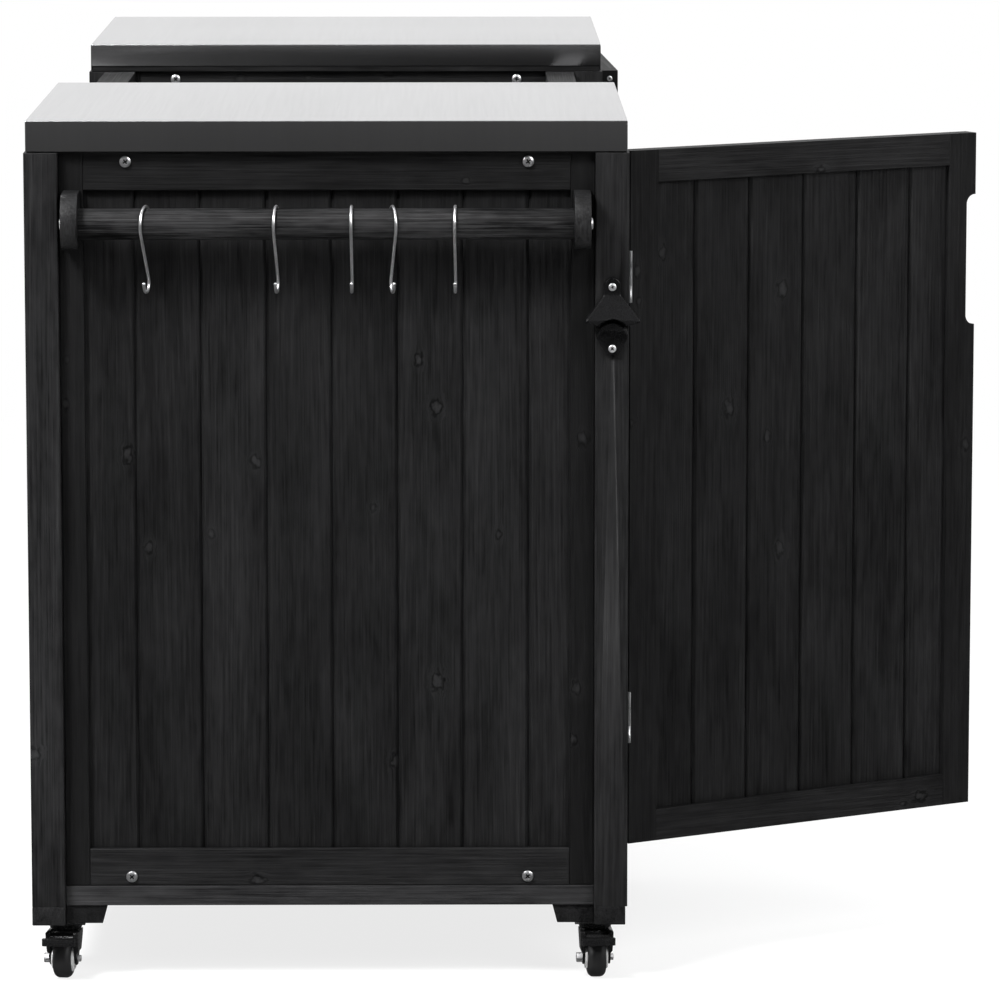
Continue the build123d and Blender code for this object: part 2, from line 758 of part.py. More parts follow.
plain_leaf = hinge_leaf(1, (middle_knuckle,))
with BuildPart() as door_leaf:
    add(plain_leaf.part)
    for level in hinge_levels:
        with Locations((0, 0, level)):
            Cylinder(pin_radius + running_play, hinge_height, mode=Mode.SUBTRACT)
left_turn = left_pivot * Rotation(0, 0, -left_door_open)
right_turn = right_pivot * Rotation(0, 0, right_door_open)
with BuildPart() as left_door_leaves:
    add(door_leaf.part.moved(left_turn))
save(left_door_leaves, "left_door_leaves")
with BuildPart() as mirrored_leaf:
    mirror(door_leaf.part, about=Plane.YZ)
with BuildPart() as right_door_leaves:
    add(mirrored_leaf.part.moved(right_turn))
save(right_door_leaves, "right_door_leaves")

left_corner = -end_x + post_size + door_gap
left_door_plane = swung(left_pivot, -left_door_open, closed_plane(left_corner))
right_door_plane = swung(right_pivot, right_door_open, closed_plane(-left_corner - door_width))
door_opening = door_width - 2 * door_stile
last_door_board = door_opening - board_edges(door_opening, first_door_board)[-2]
for plane, name, free_edge, first in ((left_door_plane, "left", door_width, first_door_board),
                                      (right_door_plane, "right", 0, last_door_board)):
    save(door_frame(plane, free_edge), f"{name}_door_frame")
    save(panel_boards(plane, door_width, door_height, door_stile, door_rail, first), f"{name}_door_boards")
    with BuildPart(plane) as strike:
        strike_x = free_edge + (strike_edge + strike_width / 2) * (1 if free_edge == 0 else -1)
        with Locations((strike_x, catch_level - door_bottom, -door_thickness - strike_thickness / 2)):
            Box(strike_width, catch_height, strike_thickness)
    save(strike, f"{name}_door_strike")

catch_front = front_y + door_thickness + strike_thickness + catch_gap
with BuildPart() as left_catch:
    timber((-inner_x - post_size - catch_width, catch_front, catch_level - catch_height / 2),
           (-inner_x - post_size, catch_front + catch_depth, catch_level + catch_height / 2))
with BuildPart() as door_catches:
    add(left_catch.part)
    mirror(left_catch.part, about=Plane.YZ)
save(door_catches, "door_catches")

# Casters at the four corners; the wheels trail towards the nearer end of the island
plate_bottom = caster_height - caster_plate_thickness
race_bottom = plate_bottom - race_height
crown_top = race_bottom - free_play
stem_top = plate_bottom - free_play
fork_half = wheel_width / 2 + rim_reach + fork_play
fork_top_half = fork_top_width / 2
fork_front = lever_pivot_forward + lever_knuckle_radius
fork_back = fork_front - fork_length
caster_x = end_x - caster_inset
caster_y = carcass_depth / 2 - caster_inset
caster_places = [(-caster_x, -caster_y), (-caster_x, caster_y), (caster_x, -caster_y), (caster_x, caster_y)]
caster_names = ("left_front", "left_back", "right_front", "right_back")

with BuildPart() as caster_plates:
    with Locations(*[(x, y, plate_bottom + caster_plate_thickness / 2) for x, y in caster_places]):
        Box(caster_plate_size, caster_plate_size, caster_plate_thickness)
    with Locations(*[(x, y, race_bottom + race_height / 2) for x, y in caster_places]):
        Cylinder(race_radius, race_height)
        Cylinder(stem_radius + running_play, race_height, mode=Mode.SUBTRACT)
save(caster_plates, "caster_plates")


def caster_plane(place, turn):
    """Upright plane through a caster's wheel axle: x towards the near end of the island, turned a little, y up."""
    x, y = place
    forward = Vector(-1 if x < 0 else 1, 0, 0).rotate(Axis.Z, turn)
    axle = Vector(x, y, wheel_radius) + forward * caster_trail
    return Plane(origin=axle, x_dir=forward, z_dir=forward.cross(Vector(0, 0, 1)))


def caster_fork(plane):
    """Swivel stem, crown and two legs, with the wheel's axle bolt and the brake lever's pin across them."""
    leg_top = crown_top - wheel_radius
    leg_face = fork_half + fork_gauge
    with BuildPart(plane) as fork:
        for inner_face in (fork_half, -fork_top_half):
            with BuildSketch(plane.offset(inner_face)):
                with BuildLine():
                    Polyline((fork_back, leg_top), (fork_front, leg_top),
                             (fork_front, lever_pivot_rise - lever_knuckle_radius),
                             (hub_radius, -hub_radius / 2), (hub_radius / 2, -hub_radius),
                             (-hub_radius / 2, -hub_radius), (-hub_radius, -hub_radius / 2),
                             (fork_back, leg_top - fork_crown), close=True)
                make_face()
            extrude(amount=fork_top_half - fork_half)
        with BuildSketch(Plane(origin=plane.origin, x_dir=plane.z_dir, z_dir=-plane.x_dir)):
            with BuildLine():
                Polyline((leg_face, fork_waist), (fork_shoulder_width / 2, fork_shoulder),
                         (fork_top_half, leg_top), (fork_top_width, leg_top),
                         (fork_top_width, -wheel_radius), (leg_face, -wheel_radius), close=True)
            make_face()
            mirror(about=Plane.YZ)
        extrude(amount=fork_length, both=True, mode=Mode.SUBTRACT)
        crown_front = lever_pivot_forward - lever_knuckle_radius - free_play - lever_gauge
        with Locations(((crown_front + fork_back) / 2, leg_top - fork_crown / 2, 0)):
            Box(crown_front - fork_back, fork_crown, 2 * fork_half)
        with Locations((-caster_trail, leg_top - fork_crown / 2, 0)):
            Cylinder(fork_half, fork_crown, rotation=(90, 0, 0))
        with Locations((-caster_trail, (leg_top + stem_top - wheel_radius) / 2, 0)):
            Cylinder(stem_radius, stem_top - crown_top, rotation=(90, 0, 0))
        Cylinder(axle_radius, 2 * leg_face)
        axle_ends = ((leg_face, axle_nut_radius, axle_nut_height),
                     (-leg_face, axle_head_radius, -axle_head_height))
        for face, radius, height in axle_ends:
            with BuildSketch(plane.offset(face)):
                RegularPolygon(radius, 6)
            extrude(amount=height)
        with Locations((lever_pivot_forward, lever_pivot_rise, 0)):
            Cylinder(lever_pin_radius, 2 * leg_face)
    return fork


def caster_wheel(plane):
    """A tyre with rounded shoulders between two rim discs, on a hub that runs on the axle bolt."""
    with BuildPart(plane) as wheel:
        Cylinder(wheel_radius, wheel_width)
        fillet(wheel.edges().filter_by(GeomType.CIRCLE), wheel_corner)
        Cylinder(rim_radius, wheel_width + 2 * rim_reach)
        Cylinder(hub_radius, 2 * (fork_half - free_play))
        Cylinder(axle_radius + running_play, 2 * fork_half, mode=Mode.SUBTRACT)
    return wheel


def brake_lever(plane):
    """A foot lever on a pin across the fork; in front of the legs it widens and ends in a broad, thick tab."""
    knuckle = Vector(lever_pivot_forward, lever_pivot_rise)
    tip = knuckle + Vector(lever_forward, -lever_drop)
    side = Vector(lever_drop, lever_forward).normalized() * (lever_gauge / 2)
    past_fork = fork_front + lever_setoff - lever_pivot_forward
    shoulder = knuckle + (tip - knuckle) * (past_fork / lever_forward)
    with BuildPart(plane) as lever:
        with BuildSketch(plane):
            with Locations(knuckle):
                Circle(lever_knuckle_radius)
            with BuildLine():
                Polyline(knuckle + side, tip + side, tip - side, knuckle - side, close=True)
            make_face()
        extrude(amount=fork_half - free_play, both=True)
        with BuildSketch(plane):
            with BuildLine():
                Polyline(shoulder + side, tip + side, tip - side, shoulder - side, close=True)
            make_face()
        extrude(amount=lever_width / 2, both=True)
        tab_foot = plane.from_local_coords((tip.X + (lever_tab_length - lever_gauge) / 2,
                                            tip.Y - lever_tab_height / 2, 0))
        with BuildSketch(Plane(origin=tab_foot, x_dir=plane.z_dir, z_dir=plane.y_dir)):
            RectangleRounded(lever_tab_width, lever_tab_length, lever_tab_corner)
        extrude(amount=lever_tab_height)
        with Locations((knuckle.X, knuckle.Y, 0)):
            Cylinder(lever_pin_radius + running_play, 2 * fork_half, mode=Mode.SUBTRACT)
    return lever


for place, turn, name in zip(caster_places, caster_turns, caster_names):
    save(caster_fork(caster_plane(place, turn)), f"{name}_fork")
    save(caster_wheel(caster_plane(place, turn)), f"{name}_wheel")
    save(brake_lever(caster_plane(place, turn)), f"{name}_brake")
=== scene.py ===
"""Looks of an outdoor kitchen island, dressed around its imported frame. Metres, +Z up, doors face -Y."""

import json
import math
import random

import bmesh
import bpy
import numpy as np
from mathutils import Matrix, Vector

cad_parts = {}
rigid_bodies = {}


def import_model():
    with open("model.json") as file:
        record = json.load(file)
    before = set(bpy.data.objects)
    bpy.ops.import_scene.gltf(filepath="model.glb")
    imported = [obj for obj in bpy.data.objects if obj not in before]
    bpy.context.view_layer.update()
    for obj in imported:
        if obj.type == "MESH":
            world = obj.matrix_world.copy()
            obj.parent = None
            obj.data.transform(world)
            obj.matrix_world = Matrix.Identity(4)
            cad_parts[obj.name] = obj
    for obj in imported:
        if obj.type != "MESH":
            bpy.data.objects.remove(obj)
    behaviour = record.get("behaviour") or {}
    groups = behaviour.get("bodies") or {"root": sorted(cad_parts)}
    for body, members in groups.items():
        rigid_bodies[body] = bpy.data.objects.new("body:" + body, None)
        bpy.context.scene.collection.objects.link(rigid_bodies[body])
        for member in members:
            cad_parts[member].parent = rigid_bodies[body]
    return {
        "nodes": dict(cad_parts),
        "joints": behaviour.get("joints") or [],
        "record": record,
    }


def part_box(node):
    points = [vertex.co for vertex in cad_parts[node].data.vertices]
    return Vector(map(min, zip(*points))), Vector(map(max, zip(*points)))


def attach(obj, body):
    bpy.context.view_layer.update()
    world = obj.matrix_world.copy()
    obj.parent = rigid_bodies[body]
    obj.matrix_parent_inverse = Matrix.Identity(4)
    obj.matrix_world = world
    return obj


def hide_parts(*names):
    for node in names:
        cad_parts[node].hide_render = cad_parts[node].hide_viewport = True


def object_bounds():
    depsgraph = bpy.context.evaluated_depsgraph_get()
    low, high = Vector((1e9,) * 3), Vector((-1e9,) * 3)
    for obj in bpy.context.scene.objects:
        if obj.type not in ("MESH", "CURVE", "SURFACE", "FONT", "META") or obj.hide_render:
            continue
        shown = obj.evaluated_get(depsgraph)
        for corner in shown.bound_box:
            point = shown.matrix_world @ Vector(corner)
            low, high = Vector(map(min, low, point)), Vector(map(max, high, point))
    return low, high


for leftover in list(bpy.data.objects):
    bpy.data.objects.remove(leftover)
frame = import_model()
cad_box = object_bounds()
scene = bpy.context.scene
scene.view_settings.view_transform = "Standard"
node_body = {node: body for body, nodes in frame["record"]["behaviour"]["bodies"].items() for node in nodes}
node_slot = {part["node"]: part["material_slot"] for part in frame["record"]["subparts"]}
joints = {joint["name"]: joint for joint in frame["joints"]}
draw = random.Random(41)

# Camera: from the towel-bar end, a little above the worktop
camera_place = (-6.5326, -0.1261, 1.362)
camera_yaw = math.radians(-0.4644)
camera_pitch = math.radians(8.575)
camera_lens = 208.5
sensor_width = 36.0

# Timber: eased edges, and the colours of the charcoal stain
timber_easing = 0.0007
frame_easing = 0.0011
bracket_easing = 0.0014
least_eased_edge = 0.004
merge_distance = 2e-6
sharp_edge = math.radians(40)
flat_joint = math.radians(0.5)
stain_dark = (0.0012, 0.0012, 0.0013, 1)
stain_light = (0.0128, 0.0128, 0.0132, 1)
ring_width = 0.0042
tone_spread = (0.9, 1.12)

# How light each kind of timber is and how strongly its grain shows; in a frame, by which side it makes. The
# lightness is partly the stain and partly painted light and shade: stiles are painted darker as the shade
# beside the posts, top rails darker as the shade under the worktop, and posts and bottom beams lighter as
# painted light
plain_look = (1.12, 0.75)
kind_look_with_painted_light = {"front_posts": (1.85, 0.6), "back_posts": (1.7, 0.8), "bottom_beams": (3.2, 0.6),
             "bar_brackets": (1.7, 1.0), "towel_bar": (1.55, 1.9), "foot_blocks": (1.5, 1.0),
             "skids": (1.3, 1.0), "door_boards": (1.24, 0.75)}
frame_look_with_painted_shade = {
    "panel_frame": {"stile": (0.9, 0.45), "top_rail": (1.08, 0.7), "bottom_rail": (1.42, 0.7)},
    "door_frame": {"stile": (1.12, 0.6), "top_rail": (1.4, 0.7), "bottom_rail": (1.4, 0.7)}}
middle_shade = 0.32

# Where the heart of the log lies from a timber's middle, and how its rings taper along it
heart_across = 0.09
heart_depth = (0.015, 0.07)
stem_taper = 0.016

# Knots, up to three in a timber. Those that show at the near end and on the open door have set places:
# board from the left, share of its width from the left, share of its height, radius
knot_squash = 0.7
knot_push = 0.8
knot_sizes = (0.0025, 0.005)
knot_names = ("first_knot", "second_knot", "third_knot")
knot_chance = 0.45
far_away = 100.0
shown_knots = {
    "left_outer_panel_boards": [
        (0, 0.79, 0.60, 0.0050), (1, 0.17, 0.46, 0.0035), (2, 0.77, 0.59, 0.0040), (2, 0.12, 0.48, 0.0030),
        (4, 0.90, 0.14, 0.0045), (4, 0.58, 0.52, 0.0028), (5, 0.30, 0.74, 0.0040), (5, 0.55, 0.67, 0.0048),
        (5, 0.56, 0.26, 0.0055), (6, 0.51, 0.48, 0.0030)],
    "left_door_boards": [
        (0, 0.25, 0.88, 0.0040), (1, 0.60, 0.63, 0.0050), (2, 0.32, 0.58, 0.0035), (2, 0.56, 0.40, 0.0050),
        (2, 0.57, 0.81, 0.0050)]}

# Pressed, bent and cast metal
press_easing = 0.0005
least_pressed_edge = 0.002
pressed_crease = math.radians(50)
bent_crease = math.radians(35)
turned_crease = math.radians(40)
head_crease = math.radians(30)
cast_voxel = 0.0007
cast_melt = 0.5
cast_smoothing = 10

# Fastener heads: the recess in shares of the head's radius and height, and the sizes in shares of the solids'
head_rings = 16
head_segments = 40
recess_half_width = 0.13
recess_reach = 0.48
recess_depth = 0.6
bolt_head_size = 0.9
screw_head_size = 1.0
edge_screw_radius = 0.0033
edge_screw_height = 0.0012
edge_screw_drop = 0.0095
edge_screw_band = 0.003

# Casters: how far the fork's legs and the axle's nut reach from the axle's middle
fork_face = 0.0145
axle_nut_reach = 0.0056

# Caster wheels, half of a wheel from its middle outwards, and the cup round the ball race
turned_segments = 64
tyre_radius = 0.020
tyre_half = 0.0095
shoulder = 0.0065
shoulder_steps = 8
axle_bore = 0.00256
hub_half = 0.0116
hub_radius = 0.0058
hub_foot = 0.0064
groove_inner = (0.0082, 0.0086)
groove_outer = (0.0101, 0.0105)
groove_depth = 0.0009
rim_radius = 0.0115
rim_half = 0.0115
rim_easing = 0.0006
cup_bore = 0.0131
cup_radius = 0.0165
cup_height = 0.007
cup_lip = 0.0015


def add(tree, kind, inputs=(), **options):
    """Add a node, set its options, and set or link its inputs."""
    node = tree.nodes.new(kind)
    for option, value in options.items():
        setattr(node, option, value)
    for key, value in dict(inputs).items():
        if isinstance(value, bpy.types.NodeSocket):
            tree.links.new(value, node.inputs[key])
        else:
            node.inputs[key].default_value = value
    return node


def finish(name, **sockets):
    """Start a material: its tree, and its shader with the constant values that the finish has all over."""
    material = bpy.data.materials.new(name)
    material.use_nodes = True
    shader = material.node_tree.nodes["Principled BSDF"]
    for socket, value in sockets.items():
        shader.inputs[socket.replace("_", " ")].default_value = value
    return material, material.node_tree, shader


def stretched_noise(tree, vector, stretch, detail=2.0):
    """Noise that runs along one direction: the vector is scaled by a different amount each way."""
    scaled = add(tree, "ShaderNodeVectorMath", {0: vector, 1: stretch}, operation="MULTIPLY")
    return add(tree, "ShaderNodeTexNoise", {"Vector": scaled.outputs[0], "Scale": 1.0, "Detail": detail})


def ranged(tree, value, low, high, new_low, new_high):
    """A value moved from one range to another."""
    inputs = {"Value": value, "From Min": low, "From Max": high, "To Min": new_low, "To Max": new_high}
    return add(tree, "ShaderNodeMapRange", inputs).outputs["Result"]


def blend_colours(tree, factor, first, second):
    """A mix of two colours."""
    mix = add(tree, "ShaderNodeMix", data_type="RGBA")
    tree.links.new(factor, mix.inputs["Factor"])
    for index, colour in ((6, first), (7, second)):
        if isinstance(colour, bpy.types.NodeSocket):
            tree.links.new(colour, mix.inputs[index])
        else:
            mix.inputs[index].default_value = colour
    return mix.outputs[2]


def bumped(tree, shader, height, distance, strength=1.0):
    """Give a shader fine relief from a height."""
    bump = add(tree, "ShaderNodeBump", {"Height": height, "Distance": distance, "Strength": strength})
    tree.links.new(bump.outputs["Normal"], shader.inputs["Normal"])


def steps(tree, value, low, high):
    """A smooth step from 0 at one value to 1 at another."""
    inputs = {"Value": value, "From Min": low, "From Max": high}
    return add(tree, "ShaderNodeMapRange", inputs, interpolation_type="SMOOTHSTEP").outputs["Result"]


def arithmetic(tree, operation, *values, clamp=False):
    """The result of one sum on numbers or sockets."""
    node = add(tree, "ShaderNodeMath", dict(enumerate(values)), operation=operation, use_clamp=clamp)
    return node.outputs[0]


def vector_sum(tree, operation, *values):
    """The result of one sum on vectors or sockets."""
    return add(tree, "ShaderNodeVectorMath", dict(enumerate(values)), operation=operation).outputs[0]


def knot(tree, grain, swirl, attribute):
    """One knot of a timber: how it pushes the grain aside, its core, the rim round the core and its halo."""
    place = add(tree, "ShaderNodeAttribute", attribute_name=attribute).outputs["Vector"]
    size = add(tree, "ShaderNodeSeparateXYZ", {0: place}).outputs["Z"]
    offset = vector_sum(tree, "MULTIPLY", vector_sum(tree, "SUBTRACT", grain, place), (knot_squash, 1, 0))
    away = add(tree, "ShaderNodeVectorMath", {0: offset}, operation="LENGTH").outputs["Value"]
    reach = arithmetic(tree, "DIVIDE", away, size)
    ragged = arithmetic(tree, "MULTIPLY_ADD", ranged(tree, swirl, 0.25, 0.75, -0.6, 0.6), 1.0, reach)
    halo = arithmetic(tree, "SUBTRACT", 1.0, steps(tree, ragged, 0.4, 3.0))
    core = arithmetic(tree, "SUBTRACT", 1.0, steps(tree, ragged, 0.3, 0.7))
    rim = arithmetic(tree, "SUBTRACT", steps(tree, ragged, 0.75, 1.0), steps(tree, ragged, 1.1, 1.6))
    push = add(tree, "ShaderNodeVectorMath", {0: offset, "Scale": halo}, operation="SCALE").outputs[0]
    return vector_sum(tree, "MULTIPLY", push, (0.0, -knot_push, 0.0)), core, rim, halo


def stained_wood():
    """Charcoal-stained softwood: growth rings, fibres and knots that follow each timber's own grain."""
    material, tree, shader = finish("stained_wood", Specular_IOR_Level=0.12)
    grain = add(tree, "ShaderNodeAttribute", attribute_name="grain").outputs["Vector"]
    tone = add(tree, "ShaderNodeAttribute", attribute_name="tone").outputs["Fac"]
    figure = add(tree, "ShaderNodeAttribute", attribute_name="figure").outputs["Fac"]
    swirl = stretched_noise(tree, grain, (150.0, 230.0, 230.0), detail=1.0).outputs["Fac"]
    flow, core, rim_line, halo = grain, 0.0, 0.0, 0.0
    for attribute in knot_names:
        push, knot_core, knot_rim, knot_halo = knot(tree, grain, swirl, attribute)
        flow = vector_sum(tree, "ADD", flow, push)
        core = arithmetic(tree, "MAXIMUM", core, knot_core)
        rim_line = arithmetic(tree, "MAXIMUM", rim_line, knot_rim)
        halo = arithmetic(tree, "MAXIMUM", halo, knot_halo)

    drift = stretched_noise(tree, flow, (1.6, 7.0, 7.0), detail=1.5).outputs["Color"]
    wander = vector_sum(tree, "MULTIPLY_ADD", drift, (0.0, 0.014, 0.014), flow)
    section = vector_sum(tree, "MULTIPLY", wander, (0, 1, 1))
    radius = add(tree, "ShaderNodeVectorMath", {0: section}, operation="LENGTH").outputs["Value"]
    length = add(tree, "ShaderNodeSeparateXYZ", {0: flow}).outputs["X"]
    tapered = arithmetic(tree, "MULTIPLY_ADD", length, stem_taper, radius)
    ring = arithmetic(tree, "FRACT", arithmetic(tree, "DIVIDE", tapered, ring_width))
    line = arithmetic(tree, "SUBTRACT", steps(tree, ring, 0.5, 0.72), steps(tree, ring, 0.8, 0.96))
    fibres = stretched_noise(tree, flow, (5.0, 430.0, 430.0), detail=2.0).outputs["Fac"]
    hairs = stretched_noise(tree, flow, (14.0, 900.0, 900.0), detail=1.0).outputs["Fac"]
    clouds = stretched_noise(tree, flow, (6.0, 26.0, 26.0), detail=4.0).outputs["Fac"]
    mottle = stretched_noise(tree, flow, (45.0, 150.0, 150.0), detail=3.0).outputs["Fac"]
    faded_line = arithmetic(tree, "MULTIPLY", line, ranged(tree, clouds, 0.38, 0.62, 0.03, 0.18))

    streaks = arithmetic(tree, "ADD", ranged(tree, fibres, 0.36, 0.66, 0.16, 0.31), faded_line)
    relief = arithmetic(tree, "ADD", streaks, ranged(tree, hairs, 0.3, 0.7, -0.2, 0.24))
    blotchy = arithmetic(tree, "ADD", relief, ranged(tree, mottle, 0.3, 0.7, -0.12, 0.14))
    patchy = arithmetic(tree, "ADD", blotchy, ranged(tree, clouds, 0.3, 0.7, -0.12, 0.26))
    contrast = arithmetic(tree, "SUBTRACT", patchy, middle_shade)
    figured = arithmetic(tree, "MULTIPLY_ADD", contrast, figure, middle_shade)
    haloed = arithmetic(tree, "MULTIPLY_ADD", halo, 0.2, figured)
    cored = arithmetic(tree, "MULTIPLY_ADD", core, 0.3, haloed)
    rimmed = arithmetic(tree, "MULTIPLY_ADD", rim_line, -0.4, cored, clamp=True)
    colour = blend_colours(tree, rimmed, stain_dark, stain_light)
    # the tone scales the colour, and with it the light and shade painted per timber
    toned = add(tree, "ShaderNodeVectorMath", {0: colour, "Scale": tone}, operation="SCALE").outputs[0]
    tree.links.new(toned, shader.inputs["Base Color"])
    tree.links.new(ranged(tree, fibres, 0.3, 0.7, 0.6, 0.46), shader.inputs["Roughness"])
    bumped(tree, shader, relief, 0.0004, 0.5)
    return material


def brushed_steel():
    """Stainless sheet, brushed along the island and folded down, so the lines run down the end skirts."""
    material, tree, shader = finish("brushed_steel", Metallic=1.0, Roughness=0.26)
    place = add(tree, "ShaderNodeTexCoord").outputs["Object"]
    lines = stretched_noise(tree, place, (6.0, 340.0, 12.0), detail=3.0).outputs["Fac"]
    smears = stretched_noise(tree, place, (1.5, 9.0, 3.0), detail=2.0).outputs["Fac"]
    both = arithmetic(tree, "ADD", lines, smears)
    shares = ranged(tree, both, 0.7, 1.3, 0, 1)
    colour = blend_colours(tree, shares, (0.55, 0.55, 0.56, 1), (0.6, 0.6, 0.61, 1))
    tree.links.new(colour, shader.inputs["Base Color"])
    return material


def zinc_plating(name, metallic, roughness, pale):
    """Zinc plating with a faint cloudy variation, with shade painted near black into the recesses of screw
    heads.
    """
    material, tree, shader = finish(name, Metallic=metallic)
    place = add(tree, "ShaderNodeTexCoord").outputs["Object"]
    clouds = stretched_noise(tree, place, (300.0, 300.0, 300.0), detail=3.0).outputs["Fac"]
    deep = pale * 0.85
    plating = blend_colours(tree, clouds, (deep, deep, deep * 1.03, 1), (pale, pale, pale * 1.01, 1))
    # painted shade: the recess of each screw head is coloured near black
    painted_recess_shade = add(tree, "ShaderNodeAttribute", attribute_name="painted_recess_shade").outputs["Fac"]
    colour = blend_colours(tree, painted_recess_shade, plating, (0.04, 0.04, 0.04, 1))
    tree.links.new(colour, shader.inputs["Base Color"])
    uneven = ranged(tree, clouds, 0.3, 0.7, roughness - 0.02, roughness + 0.02)
    tree.links.new(uneven, shader.inputs["Roughness"])
    return material


def black_coat(name, colour, roughness, grain_size, relief):
    """Black enamel, paint, rubber or plastic with a fine moulded or sprayed grain."""
    material, tree, shader = finish(name, Specular_IOR_Level=0.25)
    place = add(tree, "ShaderNodeTexCoord").outputs["Object"]
    grain = stretched_noise(tree, place, (1 / grain_size,) * 3, detail=3.0).outputs["Fac"]
    pale = tuple(1.7 * value for value in colour)
    tree.links.new(blend_colours(tree, grain, colour + (1,), pale + (1,)), shader.inputs["Base Color"])
    uneven = ranged(tree, grain, 0.3, 0.7, roughness - 0.07, roughness + 0.07)
    tree.links.new(uneven, shader.inputs["Roughness"])
    bumped(tree, shader, grain, relief)
    return material


def pale_rim():
    """Pale grey moulded plastic of the wheel rims."""
    material, tree, shader = finish("pale_rim")
    place = add(tree, "ShaderNodeTexCoord").outputs["Object"]
    grain = stretched_noise(tree, place, (700.0, 700.0, 700.0)).outputs["Fac"]
    colour = blend_colours(tree, grain, (0.32, 0.32, 0.32, 1), (0.4, 0.4, 0.4, 1))
    tree.links.new(colour, shader.inputs["Base Color"])
    tree.links.new(ranged(tree, grain, 0.3, 0.7, 0.34, 0.46), shader.inputs["Roughness"])
    return material


wood = stained_wood()
steel = brushed_steel()
zinc = zinc_plating("bright_zinc", 0.92, 0.3, 0.78)
satin_zinc = zinc_plating("satin_zinc", 0.8, 0.38, 0.78)
dull_zinc = zinc_plating("dull_zinc", 0.7, 0.5, 0.36)
cast = black_coat("cast_black", (0.0032, 0.0032, 0.0034), 0.26, 0.0009, 0.00008)
paint = black_coat("caster_paint", (0.0045, 0.0045, 0.0047), 0.28, 0.0012, 0.00003)
tyre_rubber = black_coat("tyre_rubber", (0.0085, 0.0085, 0.0088), 0.55, 0.0006, 0.00005)
catch_plastic = black_coat("catch_plastic", (0.014, 0.014, 0.0145), 0.5, 0.0008, 0.00004)
rim = pale_rim()
slot_finish = {"stained_wood": wood, "worktop_steel": steel, "zinc": zinc, "cast_black": cast,
               "caster_black": paint, "wheel_rubber": tyre_rubber, "catch_plastic": catch_plastic}


def piece(name, mesh, material, node):
    """Put a finished mesh in the scene in place of a node, on the node's body."""
    obj = bpy.data.objects.new(name, mesh)
    scene.collection.objects.link(obj)
    if material:
        mesh.materials.append(material)
    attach(obj, node_body[node])
    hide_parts(node)
    return obj


def merged_copy(node, whole_faces=True):
    """A node's mesh with its triangles joined, and its flat faces made whole."""
    solid = bmesh.new()
    solid.from_mesh(frame["nodes"][node].data)
    bmesh.ops.remove_doubles(solid, verts=solid.verts, dist=merge_distance)
    if whole_faces:
        bmesh.ops.dissolve_limit(solid, angle_limit=flat_joint, verts=solid.verts, edges=solid.edges)
    return solid


def ease_edges(solid, easing, least_length):
    """Round the sharp outer edges that are long enough to take it."""
    edges = [edge for edge in solid.edges
             if len(edge.link_faces) == 2 and edge.calc_length() > least_length
             and edge.calc_face_angle_signed() > sharp_edge]
    bmesh.ops.bevel(solid, geom=edges, offset=easing, segments=2, profile=0.5, affect="EDGES",
                    clamp_overlap=True)


def islands(solid):
    """The loose solids of a mesh, each a list of vertex numbers."""
    solid.verts.ensure_lookup_table()
    solid.verts.index_update()
    waiting = set(range(len(solid.verts)))
    while waiting:
        group = []
        edge_of = [min(waiting)]
        waiting.discard(edge_of[0])
        while edge_of:
            number = edge_of.pop()
            group.append(number)
            for edge in solid.verts[number].link_edges:
                other = edge.other_vert(solid.verts[number]).index
                if other in waiting:
                    waiting.discard(other)
                    edge_of.append(other)
        yield sorted(group)


def own_axes(points):
    """A solid's middle and its own three directions, the longest first, each pointing the positive way."""
    middle = points.mean(axis=0)
    spread, directions = np.linalg.eigh(np.cov((points - middle).T))
    directions = directions[:, np.argsort(-spread)]
    lead = np.abs(directions).argmax(axis=0)
    return middle, directions * np.sign(directions[lead, range(3)])


def timber_knots(node, order, low, high):
    """The knots of one timber in its grain coordinates: those that show, or a few at random."""
    shown = [knot for knot in shown_knots.get(node, []) if knot[0] == order]
    places = [(high[1] - share * (high[1] - low[1]), low[0] + rise * (high[0] - low[0]), size)
              for number, share, rise, size in shown]
    knots = []
    for number in range(len(knot_names)):
        along, across = draw.uniform(low[0], high[0]), draw.uniform(low[1], high[1])
        size = draw.uniform(*knot_sizes)
        if draw.random() > knot_chance:
            along = far_away
        if node in shown_knots:
            across, along, size = places[number] if number < len(places) else (0.0, far_away, size)
        knots.append((along, across, size))
    return knots


def timber_look_with_painted_light(node, points):
    """A timber's tone, with painted light and shade in it, and its figure: by what it is and, in a frame, by
    which side of the frame it makes.
    """
    sides = next((looks for ending, looks in frame_look_with_painted_shade.items() if node.endswith(ending)), None)
    if not sides:
        return next((look for ending, look in kind_look_with_painted_light.items() if node.endswith(ending)), plain_look)
    low, high = points.min(axis=0), points.max(axis=0)
    if (high - low).argmax() == 2:
        return sides["stile"]
    return sides["top_rail" if low[2] > cad_box[1][2] / 2 else "bottom_rail"]


